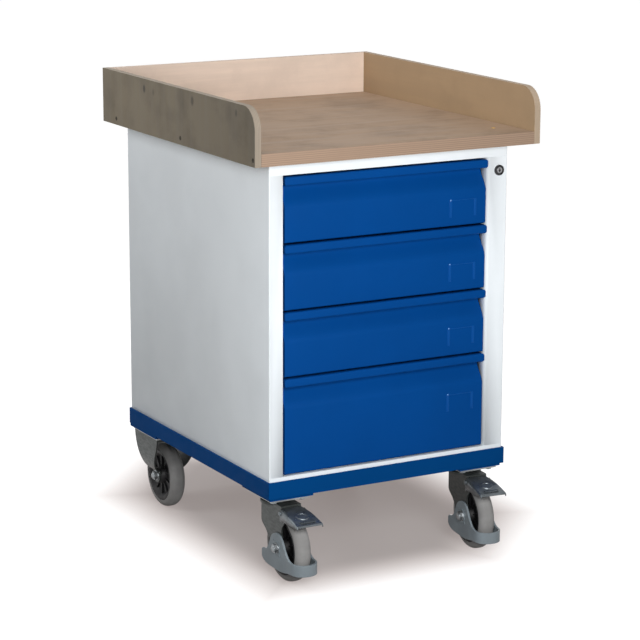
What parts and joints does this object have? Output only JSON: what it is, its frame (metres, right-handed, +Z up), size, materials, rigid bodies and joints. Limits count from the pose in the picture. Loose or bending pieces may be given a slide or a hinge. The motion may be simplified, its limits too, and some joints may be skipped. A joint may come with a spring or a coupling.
{
  "type": "rolling tool cabinet",
  "caption": "Rolling steel drawer cabinet with a plywood worktop tray, an angle-iron base and castors, the front ones swivelling and braked; drawers slide on runners.",
  "frame": {"origin": "on the floor, at the centre of the object's bounding box seen from above", "axes": "+Z up, -Y towards the user at the drawer fronts, +X to the user's right"},
  "size_m": [0.57, 0.6484, 0.8493],
  "materials": {
    "cabinet_paint": "light grey powder coat, fine satin",
    "drawer_paint": "gentian-blue powder coat, semi-gloss",
    "base_paint": "gentian-blue powder coat, satin",
    "zinc": "bright zinc-plated pressed steel",
    "plywood": "clear-lacquered birch multiplex with bare layered edges",
    "tyre_rubber": "grey thermoplastic rubber",
    "hub_plastic": "black moulded plastic",
    "guard_plastic": "grey moulded plastic",
    "lock_metal": "dark plated lock cylinder"
  },
  "bodies": {
    "cabinet": {"cabinet_side_left": "cabinet_paint", "cabinet_side_right": "cabinet_paint", "cabinet_back": "cabinet_paint", "cabinet_top": "cabinet_paint", "cabinet_bottom": "cabinet_paint", "front_stile_left": "cabinet_paint", "front_stile_right": "cabinet_paint", "base_rail_front": "base_paint", "base_rail_rear": "base_paint", "base_rail_left": "base_paint", "base_rail_right": "base_paint", "tray_floor": "plywood", "tray_side_left": "plywood", "tray_side_right": "plywood", "tray_back": "plywood", "runner_1_left": "zinc", "runner_1_right": "zinc", "runner_2_left": "zinc", "runner_2_right": "zinc", "runner_3_left": "zinc", "runner_3_right": "zinc", "runner_4_left": "zinc", "runner_4_right": "zinc", "front_left_castor_plate": "zinc", "front_right_castor_plate": "zinc", "rear_left_castor_plate": "zinc", "rear_right_castor_plate": "zinc", "rear_left_fork": "zinc", "rear_left_axle": "zinc", "rear_right_fork": "zinc", "rear_right_axle": "zinc"},
    "drawer_1": {"drawer_1_front": "drawer_paint", "drawer_1_box": "zinc"},
    "drawer_2": {"drawer_2_front": "drawer_paint", "drawer_2_box": "zinc"},
    "drawer_3": {"drawer_3_front": "drawer_paint", "drawer_3_box": "zinc"},
    "drawer_4": {"drawer_4_front": "drawer_paint", "drawer_4_box": "zinc"},
    "front_left_swivel": {"front_left_fork": "zinc", "front_left_axle": "zinc", "front_left_foot_guard": "guard_plastic"},
    "front_left_wheel": {"front_left_tyre": "tyre_rubber", "front_left_hub": "hub_plastic"},
    "front_left_pedal": {"front_left_brake_pedal": "zinc"},
    "front_right_swivel": {"front_right_fork": "zinc", "front_right_axle": "zinc", "front_right_foot_guard": "guard_plastic"},
    "front_right_wheel": {"front_right_tyre": "tyre_rubber", "front_right_hub": "hub_plastic"},
    "front_right_pedal": {"front_right_brake_pedal": "zinc"},
    "rear_left_wheel": {"rear_left_tyre": "tyre_rubber", "rear_left_hub": "hub_plastic"},
    "rear_right_wheel": {"rear_right_tyre": "tyre_rubber", "rear_right_hub": "hub_plastic"},
    "lock": {"lock_cylinder": "lock_metal"},
    "lock_bar": {"lock_bar": "zinc"}
  },
  "joints": [
    {"name": "drawer_1_slide", "type": "slide", "parent": "cabinet", "child": "drawer_1", "axis": [0, -1, 0], "range_m": [0, 0.4]},
    {"name": "drawer_2_slide", "type": "slide", "parent": "cabinet", "child": "drawer_2", "axis": [0, -1, 0], "range_m": [0, 0.4]},
    {"name": "drawer_3_slide", "type": "slide", "parent": "cabinet", "child": "drawer_3", "axis": [0, -1, 0], "range_m": [0, 0.4]},
    {"name": "drawer_4_slide", "type": "slide", "parent": "cabinet", "child": "drawer_4", "axis": [0, -1, 0], "range_m": [0, 0.4]},
    {"name": "front_left_swivel", "type": "hinge", "parent": "cabinet", "child": "front_left_swivel", "pos_m": [-0.1952, -0.20152, 0.1397], "axis": [0, 0, 1], "continuous": true},
    {"name": "front_left_wheel_spin", "type": "hinge", "parent": "front_left_swivel", "child": "front_left_wheel", "pos_m": [-0.1952, -0.24352, 0.0625], "axis": [1, 0, 0], "continuous": true},
    {"name": "front_left_pedal_press", "type": "hinge", "parent": "front_left_swivel", "child": "front_left_pedal", "pos_m": [-0.1952, -0.25552, 0.1287], "axis": [1, 0, 0], "range_deg": [0, 12]},
    {"name": "front_right_swivel", "type": "hinge", "parent": "cabinet", "child": "front_right_swivel", "pos_m": [0.1952, -0.20152, 0.1397], "axis": [0, 0, 1], "continuous": true},
    {"name": "front_right_wheel_spin", "type": "hinge", "parent": "front_right_swivel", "child": "front_right_wheel", "pos_m": [0.19081, -0.24329, 0.0625], "axis": [0.9945, -0.1045, 0], "continuous": true},
    {"name": "front_right_pedal_press", "type": "hinge", "parent": "front_right_swivel", "child": "front_right_pedal", "pos_m": [0.18956, -0.25523, 0.1287], "axis": [0.9945, -0.1045, 0], "range_deg": [0, 12]},
    {"name": "rear_left_wheel_spin", "type": "hinge", "parent": "cabinet", "child": "rear_left_wheel", "pos_m": [-0.1952, 0.25768, 0.0625], "axis": [1, 0, 0], "continuous": true},
    {"name": "rear_right_wheel_spin", "type": "hinge", "parent": "cabinet", "child": "rear_right_wheel", "pos_m": [0.1952, 0.25768, 0.0625], "axis": [1, 0, 0], "continuous": true},
    {"name": "lock_turn", "type": "hinge", "parent": "cabinet", "child": "lock", "pos_m": [0.222, -0.25582, 0.7015], "axis": [0, -1, 0], "range_deg": [0, 90]},
    {"name": "lock_bar_shift", "type": "slide", "parent": "cabinet", "child": "lock_bar", "axis": [1, 0, 0], "range_m": [0, 0.0101]}
  ],
  "couplings": [
    {"joint": "lock_turn", "follows": "lock_bar_shift", "rad_per_m": 155.5}
  ]
}
